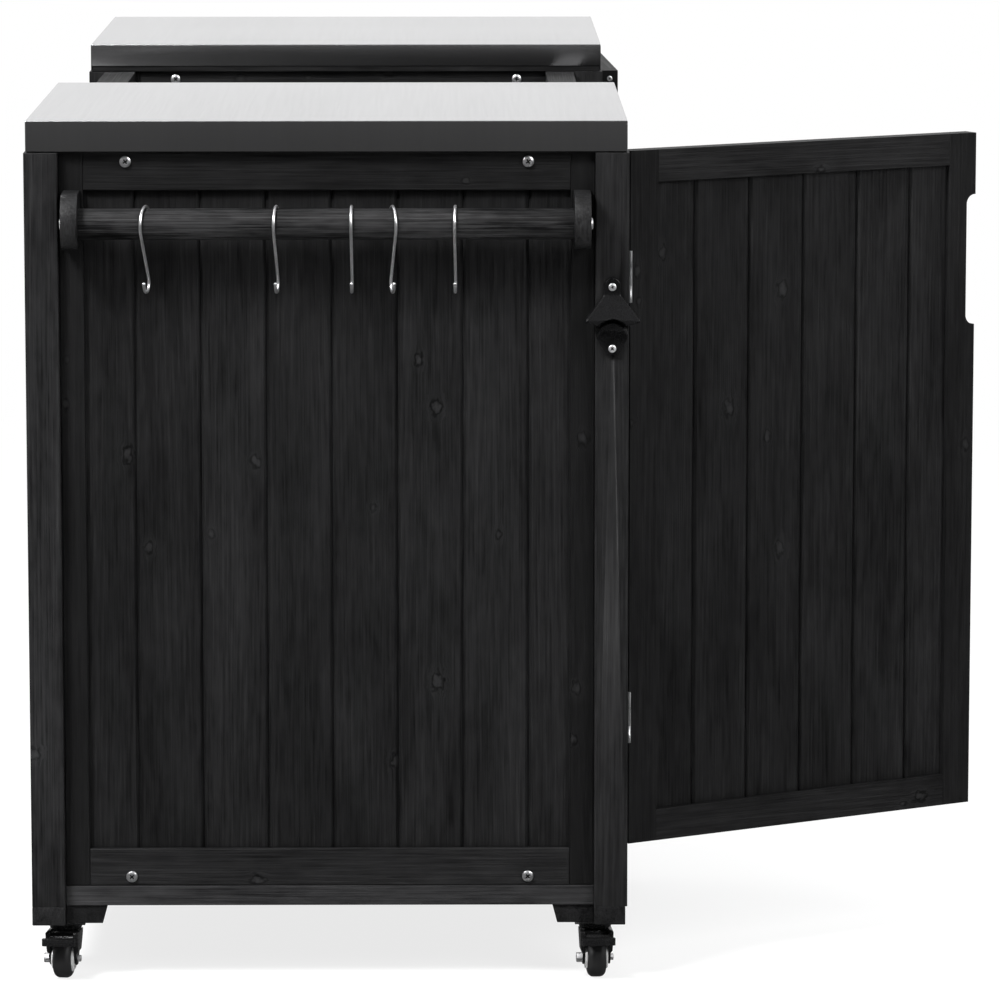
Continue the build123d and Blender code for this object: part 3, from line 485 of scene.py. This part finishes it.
def timber_piece(node):
    """A wooden node with eased edges; each timber keeps its own grain coordinates and tone."""
    solid = merged_copy(node)
    if node == "bar_brackets":
        ease_edges(solid, bracket_easing, 0.0)
    else:
        ease_edges(solid, frame_easing if node.endswith("_frame") else timber_easing, least_eased_edge)
    points = np.array([vertex.co for vertex in solid.verts])
    grain = np.zeros((len(points), 3))
    tone, figure = np.zeros(len(points)), np.zeros(len(points))
    knots = np.zeros((len(knot_names), len(points), 3))
    timbers = sorted(islands(solid), key=lambda group: -points[group].mean(axis=0)[1])
    for order, group in enumerate(timbers):
        middle, directions = own_axes(points[group])
        heart = (draw.uniform(-1, 1), draw.uniform(-heart_across, heart_across), draw.uniform(*heart_depth))
        grain[group] = (points[group] - middle) @ directions + heart
        # the tone carries painted light and shade by the timber's kind and side, times a random spread of
        # stain
        tone[group], figure[group] = timber_look_with_painted_light(node, points[group])
        tone[group] *= draw.uniform(*tone_spread)
        low, high = grain[group].min(axis=0), grain[group].max(axis=0)
        for number, place in enumerate(timber_knots(node, order, low, high)):
            knots[number, group] = place
    mesh = bpy.data.meshes.new(node)
    solid.to_mesh(mesh)
    solid.free()
    for name, values in zip(("grain",) + knot_names, (grain, *knots)):
        mesh.attributes.new(name, "FLOAT_VECTOR", "POINT").data.foreach_set("vector", values.ravel())
    for name, values in (("tone", tone), ("figure", figure)):
        mesh.attributes.new(name, "FLOAT", "POINT").data.foreach_set("value", values)
    return piece(f"{node}_timber", mesh, wood, node)


for node, slot in node_slot.items():
    if slot == "stained_wood":
        timber_piece(node)


def shade_by_angle(mesh, angle):
    """Smooth shading that keeps edges sharper than the angle."""
    mesh.polygons.foreach_set("use_smooth", [True] * len(mesh.polygons))
    mesh.set_sharp_from_angle(angle=angle)


def pressed_piece(node, material):
    """A metal node with its long edges eased, shaded smooth over its curves."""
    solid = merged_copy(node)
    ease_edges(solid, press_easing, least_pressed_edge)
    mesh = bpy.data.meshes.new(node)
    solid.to_mesh(mesh)
    solid.free()
    shade_by_angle(mesh, pressed_crease)
    return piece(f"{node}_pressed", mesh, material, node)


def smooth_piece(node, material):
    """A turned or bent metal node, shaded smooth."""
    solid = merged_copy(node, whole_faces=False)
    mesh = bpy.data.meshes.new(node)
    solid.to_mesh(mesh)
    solid.free()
    shade_by_angle(mesh, bent_crease)
    return piece(f"{node}_smooth", mesh, material, node)


def fork_piece(caster):
    """A painted fork; outside its legs the axle's head and nut are dull zinc."""
    fork = pressed_piece(f"{caster}_fork", paint)
    fork.data.materials.append(dull_zinc)
    axle = Vector(joints[f"{caster}_roll"]["pos_m"])
    axis = Vector(joints[f"{caster}_roll"]["axis"]).normalized()
    for face in fork.data.polygons:
        along = (face.center - axle).dot(axis)
        across = (face.center - axle - along * axis).length
        if abs(along) > fork_face and across < axle_nut_reach:
            face.material_index = 1


caster_names = [name.removesuffix("_fork") for name in node_slot if name.endswith("_fork")]
for caster in caster_names:
    fork_piece(caster)
    pressed_piece(f"{caster}_brake", paint)
for node in ("caster_plates", "door_catches"):
    pressed_piece(node, slot_finish[node_slot[node]])
for node, slot in node_slot.items():
    if slot == "zinc" and node not in ("panel_bolts", "wood_screws"):
        smooth_piece(node, zinc)
for node in ("left_worktop", "right_worktop"):
    smooth_piece(node, steel)


def cast_piece(node):
    """The cast opener: its edges melted into rounds, as sand casting and enamel leave them."""
    solid = merged_copy(node)
    mesh = bpy.data.meshes.new(node)
    solid.to_mesh(mesh)
    solid.free()
    rough = bpy.data.objects.new("rough_casting", mesh)
    scene.collection.objects.link(rough)
    remesh = rough.modifiers.new("skin", "REMESH")
    remesh.mode = "VOXEL"
    remesh.voxel_size = cast_voxel
    melt = rough.modifiers.new("melt", "SMOOTH")
    melt.factor = cast_melt
    melt.iterations = cast_smoothing
    evaluated = rough.evaluated_get(bpy.context.evaluated_depsgraph_get())
    casting = bpy.data.meshes.new_from_object(evaluated)
    bpy.data.objects.remove(rough)
    casting.polygons.foreach_set("use_smooth", [True] * len(casting.polygons))
    casting.materials.clear()
    return piece(f"{node}_casting", casting, cast, node)


cast_piece("bottle_opener")


def cross_head():
    """A pan head with a cross recess, of radius and height 1, standing on the origin; the recess is marked
    where shade is painted dark.
    """
    head = bmesh.new()
    profile = [(step / head_rings, 1 - 0.35 * (step / head_rings) ** 4) for step in range(1, head_rings)]
    profile += [(0.985, 0.5), (1.0, 0.36), (1.0, 0.0)]
    # marks the vertices of the recess, where the zinc gets painted shade
    painted_recess_shade = head.verts.layers.float.new("painted_recess_shade")
    rings = []
    for reach, rise in profile:
        ring = []
        for number in range(head_segments):
            angle = 2 * math.pi * number / head_segments
            x, y = reach * math.cos(angle), reach * math.sin(angle)
            near, far = sorted((abs(x), abs(y)))
            recessed = float(near < recess_half_width and far < recess_reach)
            ring.append(head.verts.new((x, y, rise - recessed * recess_depth)))
            ring[-1][painted_recess_shade] = recessed
        rings.append(ring)
    crown = head.verts.new((0, 0, 1 - recess_depth))
    crown[painted_recess_shade] = 1.0
    for number in range(head_segments):
        following = (number + 1) % head_segments
        head.faces.new((crown, rings[0][number], rings[0][following]))
        for inner, outer in zip(rings, rings[1:]):
            head.faces.new((inner[number], outer[number], outer[following], inner[following]))
    head.faces.new(reversed(rings[-1]))
    mesh = bpy.data.meshes.new("cross_head")
    head.to_mesh(mesh)
    head.free()
    shade_by_angle(mesh, head_crease)
    return mesh


def fastener_tree(material):
    """Nodes that set one head on each point, along the point's outward direction and turned at random."""
    tree = bpy.data.node_groups.new("fastener_heads", "GeometryNodeTree")
    face = tree.interface
    face.new_socket("Points", in_out="INPUT", socket_type="NodeSocketGeometry")
    sockets = {"Head": face.new_socket("Head", in_out="INPUT", socket_type="NodeSocketObject"),
               "Size": face.new_socket("Size", in_out="INPUT", socket_type="NodeSocketFloat"),
               "Seed": face.new_socket("Seed", in_out="INPUT", socket_type="NodeSocketInt")}
    face.new_socket("Heads", in_out="OUTPUT", socket_type="NodeSocketGeometry")
    given = add(tree, "NodeGroupInput").outputs
    outward = add(tree, "GeometryNodeInputNamedAttribute", {"Name": "outward"}, data_type="FLOAT_VECTOR")
    extent = add(tree, "GeometryNodeInputNamedAttribute", {"Name": "extent"}, data_type="FLOAT_VECTOR")
    sized = add(tree, "ShaderNodeVectorMath", {0: extent.outputs["Attribute"], "Scale": given["Size"]},
                operation="SCALE")
    upright = add(tree, "FunctionNodeAlignRotationToVector", {"Vector": outward.outputs["Attribute"]},
                  axis="Z")
    spin = add(tree, "FunctionNodeRandomValue", {2: 0.0, 3: math.pi, "Seed": given["Seed"]},
               data_type="FLOAT")
    turn = add(tree, "FunctionNodeAxisAngleToRotation", {"Axis": (0, 0, 1), "Angle": spin.outputs[1]})
    turned = add(tree, "FunctionNodeRotateRotation", {0: upright.outputs[0], 1: turn.outputs[0]},
                 rotation_space="LOCAL")
    shape = add(tree, "GeometryNodeObjectInfo", {"Object": given["Head"]})
    placed = add(tree, "GeometryNodeInstanceOnPoints",
                 {"Points": given["Points"], "Instance": shape.outputs["Geometry"],
                  "Rotation": turned.outputs[0], "Scale": sized.outputs[0]})
    real = add(tree, "GeometryNodeRealizeInstances", {0: placed.outputs[0]})
    plated = add(tree, "GeometryNodeSetMaterial", {"Geometry": real.outputs[0], "Material": material})
    add(tree, "NodeGroupOutput", {"Heads": plated.outputs[0]})
    return tree, {name: socket.identifier for name, socket in sockets.items()}


def fastener_seats(node):
    """Where each fastener of a node has its head's underside, which way it points, and the head's size."""
    solid = merged_copy(node)
    points = np.array([vertex.co for vertex in solid.verts])
    seats = []
    for group in islands(solid):
        own = points[group]
        axis = own_axes(own)[1][:, 0]
        along = own @ axis
        core = own - np.outer(along, axis)
        reach = np.linalg.norm(core - (core.min(axis=0) + core.max(axis=0)) / 2, axis=1)
        wide = along[reach > 0.99 * reach.max()]
        way = 1.0 if wide.mean() > (along.min() + along.max()) / 2 else -1.0
        top = along.max() if way > 0 else along.min()
        middle = (core.min(axis=0) + core.max(axis=0)) / 2
        seats.append((middle + wide.mean() * axis, way * axis, reach.max(), abs(top - wide.mean())))
    solid.free()
    return seats


def heads_on(seats, size, seed, material):
    """One plain mesh of a head on each seat, the heads all of one finish."""
    points = bpy.data.meshes.new("seats")
    points.from_pydata([tuple(seat[0]) for seat in seats], [], [])
    outward = np.array([seat[1] for seat in seats]).ravel()
    extent = np.array([(seat[2], seat[2], seat[3]) for seat in seats]).ravel()
    points.attributes.new("outward", "FLOAT_VECTOR", "POINT").data.foreach_set("vector", outward)
    points.attributes.new("extent", "FLOAT_VECTOR", "POINT").data.foreach_set("vector", extent)
    host = bpy.data.objects.new("seats", points)
    scene.collection.objects.link(host)
    pattern = bpy.data.objects.new("head_pattern", cross_head())
    scene.collection.objects.link(pattern)
    tree, names = fastener_tree(material)
    modifier = host.modifiers.new("heads", "NODES")
    modifier.node_group = tree
    modifier[names["Head"]] = pattern
    modifier[names["Size"]] = size
    modifier[names["Seed"]] = seed
    evaluated = host.evaluated_get(bpy.context.evaluated_depsgraph_get())
    mesh = bpy.data.meshes.new_from_object(evaluated)
    bpy.data.objects.remove(host)
    bpy.data.objects.remove(pattern)
    return mesh


def door_edge_seat(door_frame):
    """Where a screw shows in a door's free edge near its top, which way it points, and its head's size."""
    mesh = frame["nodes"][door_frame].data
    lowest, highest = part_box(door_frame)
    edge = [face for face in mesh.polygons
            if face.normal.x < -0.99 and face.center.x < lowest[0] + edge_screw_band]
    corners = np.array([mesh.vertices[number].co for face in edge for number in face.vertices])
    middle = (corners.min(axis=0) + corners.max(axis=0)) / 2
    place = (middle[0], middle[1], highest[2] - edge_screw_drop)
    return place, tuple(edge[0].normal), edge_screw_radius, edge_screw_height


for node, size, seed, plating in (("panel_bolts", bolt_head_size, 7, zinc),
                                  ("wood_screws", screw_head_size, 12, satin_zinc)):
    piece(f"{node}_heads", heads_on(fastener_seats(node), size, seed, plating), None, node)
edge_screw_head = heads_on([door_edge_seat("right_door_frame")], screw_head_size, 3, satin_zinc)
edge_screw = bpy.data.objects.new("far_door_edge_screw", edge_screw_head)
scene.collection.objects.link(edge_screw)
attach(edge_screw, "right_door")


def lathe(profile, middle, axis, finish_from):
    """Turn a closed profile of (radius, distance along the axis) points about an axis."""
    axis = Vector(axis).normalized()
    side = axis.orthogonal().normalized()
    other = axis.cross(side)
    turned = bmesh.new()
    rings = []
    for number in range(turned_segments):
        angle = 2 * math.pi * number / turned_segments
        out = side * math.cos(angle) + other * math.sin(angle)
        rings.append([turned.verts.new(Vector(middle) + out * radius + axis * along)
                      for radius, along in profile])
    for number, ring in enumerate(rings):
        following = rings[(number + 1) % turned_segments]
        for step in range(len(profile)):
            after = (step + 1) % len(profile)
            face = turned.faces.new((ring[step], ring[after], following[after], following[step]))
            face.material_index = finish_from[step]
    bmesh.ops.recalc_face_normals(turned, faces=turned.faces)
    mesh = bpy.data.meshes.new("turned")
    turned.to_mesh(mesh)
    turned.free()
    shade_by_angle(mesh, turned_crease)
    return mesh


def quarter_round(middle, radius, count):
    """Points of a quarter circle in the wheel's section, from the axle's direction outwards."""
    angles = [math.radians(90 * step / count) for step in range(count + 1)]
    return [(middle[0] + radius * math.sin(angle), middle[1] + radius * math.cos(angle)) for angle in angles]


def wheel_piece(caster):
    """A rubber tyre with round shoulders, between stepped pale rims."""
    node = f"{caster}_wheel"
    roll = joints[f"{caster}_roll"]
    groove_floor = rim_half - groove_depth
    half = [(axle_bore, 0.0), (axle_bore, hub_half), (hub_radius, hub_half), (hub_foot, rim_half),
            (groove_inner[0], rim_half), (groove_inner[1], groove_floor),
            (groove_outer[0], groove_floor), (groove_outer[1], rim_half),
            (rim_radius - rim_easing, rim_half), (rim_radius, rim_half - rim_easing), (rim_radius, tyre_half)]
    rim_steps = len(half) - 1
    half += quarter_round((tyre_radius - shoulder, tyre_half - shoulder), shoulder, shoulder_steps)
    profile = half + [(radius, -along) for radius, along in reversed(half[1:])]
    is_tyre = [rim_steps <= step < len(profile) - rim_steps - 1 for step in range(len(profile))]
    mesh = lathe(profile, roll["pos_m"], roll["axis"], [int(tyre) for tyre in is_tyre])
    mesh.materials.append(rim)
    mesh.materials.append(tyre_rubber)
    return piece(f"{caster}_wheel_turned", mesh, None, node)


def swivel_cup(caster):
    """The pressed cup round a caster's ball race, between its plate and its fork."""
    swivel = joints[f"{caster}_swivel"]
    race_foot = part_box("caster_plates")[0][2]
    middle = (swivel["pos_m"][0], swivel["pos_m"][1], race_foot)
    profile = [(cup_bore, 0.0), (cup_bore, cup_height), (cup_radius, cup_height),
               (cup_radius, cup_lip), (cup_radius - cup_lip, 0.0)]
    mesh = lathe(profile, middle, (0, 0, 1), [0] * len(profile))
    mesh.materials.append(paint)
    cup = bpy.data.objects.new(f"{caster}_swivel_cup", mesh)
    scene.collection.objects.link(cup)
    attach(cup, node_body["caster_plates"])


for caster in caster_names:
    wheel_piece(caster)
    swivel_cup(caster)


# Floor: white to the camera, with the island's soft shadow
floor_half = 12.0
floor_glow = 0.8
floor_mesh = bpy.data.meshes.new("floor")
floor_corners = [(-floor_half, -floor_half, 0), (floor_half, -floor_half, 0),
                 (floor_half, floor_half, 0), (-floor_half, floor_half, 0)]
floor_mesh.from_pydata(floor_corners, [], [(0, 1, 2, 3)])
floor = bpy.data.objects.new("floor", floor_mesh)
scene.collection.objects.link(floor)


def floor_finish():
    """Pale floor, white to the camera away from the island; gloss sees the studio through it."""
    material = bpy.data.materials.new("studio_floor")
    material.use_nodes = True
    tree = material.node_tree
    tree.nodes.clear()
    path = add(tree, "ShaderNodeLightPath").outputs
    place = add(tree, "ShaderNodeTexCoord").outputs["Object"]
    away = add(tree, "ShaderNodeVectorMath", {0: place}, operation="LENGTH").outputs["Value"]
    glow = ranged(tree, away, 1.4, 3.5, floor_glow, 1.0)
    matte = add(tree, "ShaderNodeBsdfDiffuse", {"Color": (0.85, 0.85, 0.85, 1)})
    white = add(tree, "ShaderNodeEmission", {"Color": (1, 1, 1, 1), "Strength": 1.0})
    seen = add(tree, "ShaderNodeMixShader", {0: glow, 1: matte.outputs[0], 2: white.outputs[0]})
    lit = add(tree, "ShaderNodeMixShader",
              {0: path["Is Camera Ray"], 1: matte.outputs[0], 2: seen.outputs[0]})
    clear = add(tree, "ShaderNodeBsdfTransparent")
    whole = add(tree, "ShaderNodeMixShader",
                {0: path["Is Glossy Ray"], 1: lit.outputs[0], 2: clear.outputs[0]})
    add(tree, "ShaderNodeOutputMaterial", {"Surface": whole.outputs[0]})
    return material


floor_mesh.materials.append(floor_finish())

# Studio: a white backdrop behind the island and above it, a dim room on the camera's side and a dim floor
room_level = 0.018
backdrop_level = 1.0
floor_level = 0.12
world = bpy.data.worlds.new("studio")
scene.world = world
world.use_nodes = True
studio = world.node_tree
studio.nodes.clear()
way = add(studio, "ShaderNodeTexCoord").outputs["Generated"]
toward = add(studio, "ShaderNodeSeparateXYZ", {0: way}).outputs
behind = ranged(studio, toward["X"], -0.35, 0.45, 0.0, backdrop_level - room_level)
above_floor = ranged(studio, toward["Z"], -0.12, 0.0, floor_level, 1.0)
level = arithmetic(studio, "ADD", arithmetic(studio, "MULTIPLY", behind, above_floor), room_level)
ambient = add(studio, "ShaderNodeBackground", {"Strength": level})
plain = add(studio, "ShaderNodeBackground", {"Strength": 1.0})
for background in (ambient, plain):
    background.inputs["Color"].default_value = (1, 1, 1, 1)
camera_ray = add(studio, "ShaderNodeLightPath").outputs["Is Camera Ray"]
backdrop = add(studio, "ShaderNodeMixShader", {0: camera_ray, 1: ambient.outputs[0], 2: plain.outputs[0]})
add(studio, "ShaderNodeOutputWorld", {"Surface": backdrop.outputs[0]})


def softbox(name, place, target, size, power, mirrored=True):
    """A large soft lamp that looks at a point; metal may mirror it."""
    data = bpy.data.lights.new(name, "AREA")
    data.shape = "SQUARE"
    data.size = size
    data.energy = power
    lamp = bpy.data.objects.new(name, data)
    lamp.visible_glossy = mirrored
    lamp.location = place
    lamp.rotation_euler = (Vector(target) - Vector(place)).to_track_quat("-Z", "Y").to_euler()
    scene.collection.objects.link(lamp)


softbox("overhead", (0.2, 0.3, 3.6), (0.0, 0.0, 0.5), 3.0, 120, mirrored=False)
softbox("key", (-2.9, 2.1, 4.0), (-0.6, 0.0, 0.5), 1.2, 400)
softbox("fill", (-3.3, -2.8, 3.1), (-0.4, -0.1, 0.5), 2.2, 150)

camera_data = bpy.data.cameras.new("camera")
camera_data.lens = camera_lens
camera_data.sensor_width = sensor_width
camera = bpy.data.objects.new("camera", camera_data)
camera.location = camera_place
looking = Vector((math.cos(camera_yaw) * math.cos(camera_pitch),
                  math.sin(camera_yaw) * math.cos(camera_pitch),
                  -math.sin(camera_pitch)))
camera.rotation_euler = looking.to_track_quat("-Z", "Y").to_euler()
scene.collection.objects.link(camera)
scene.camera = camera
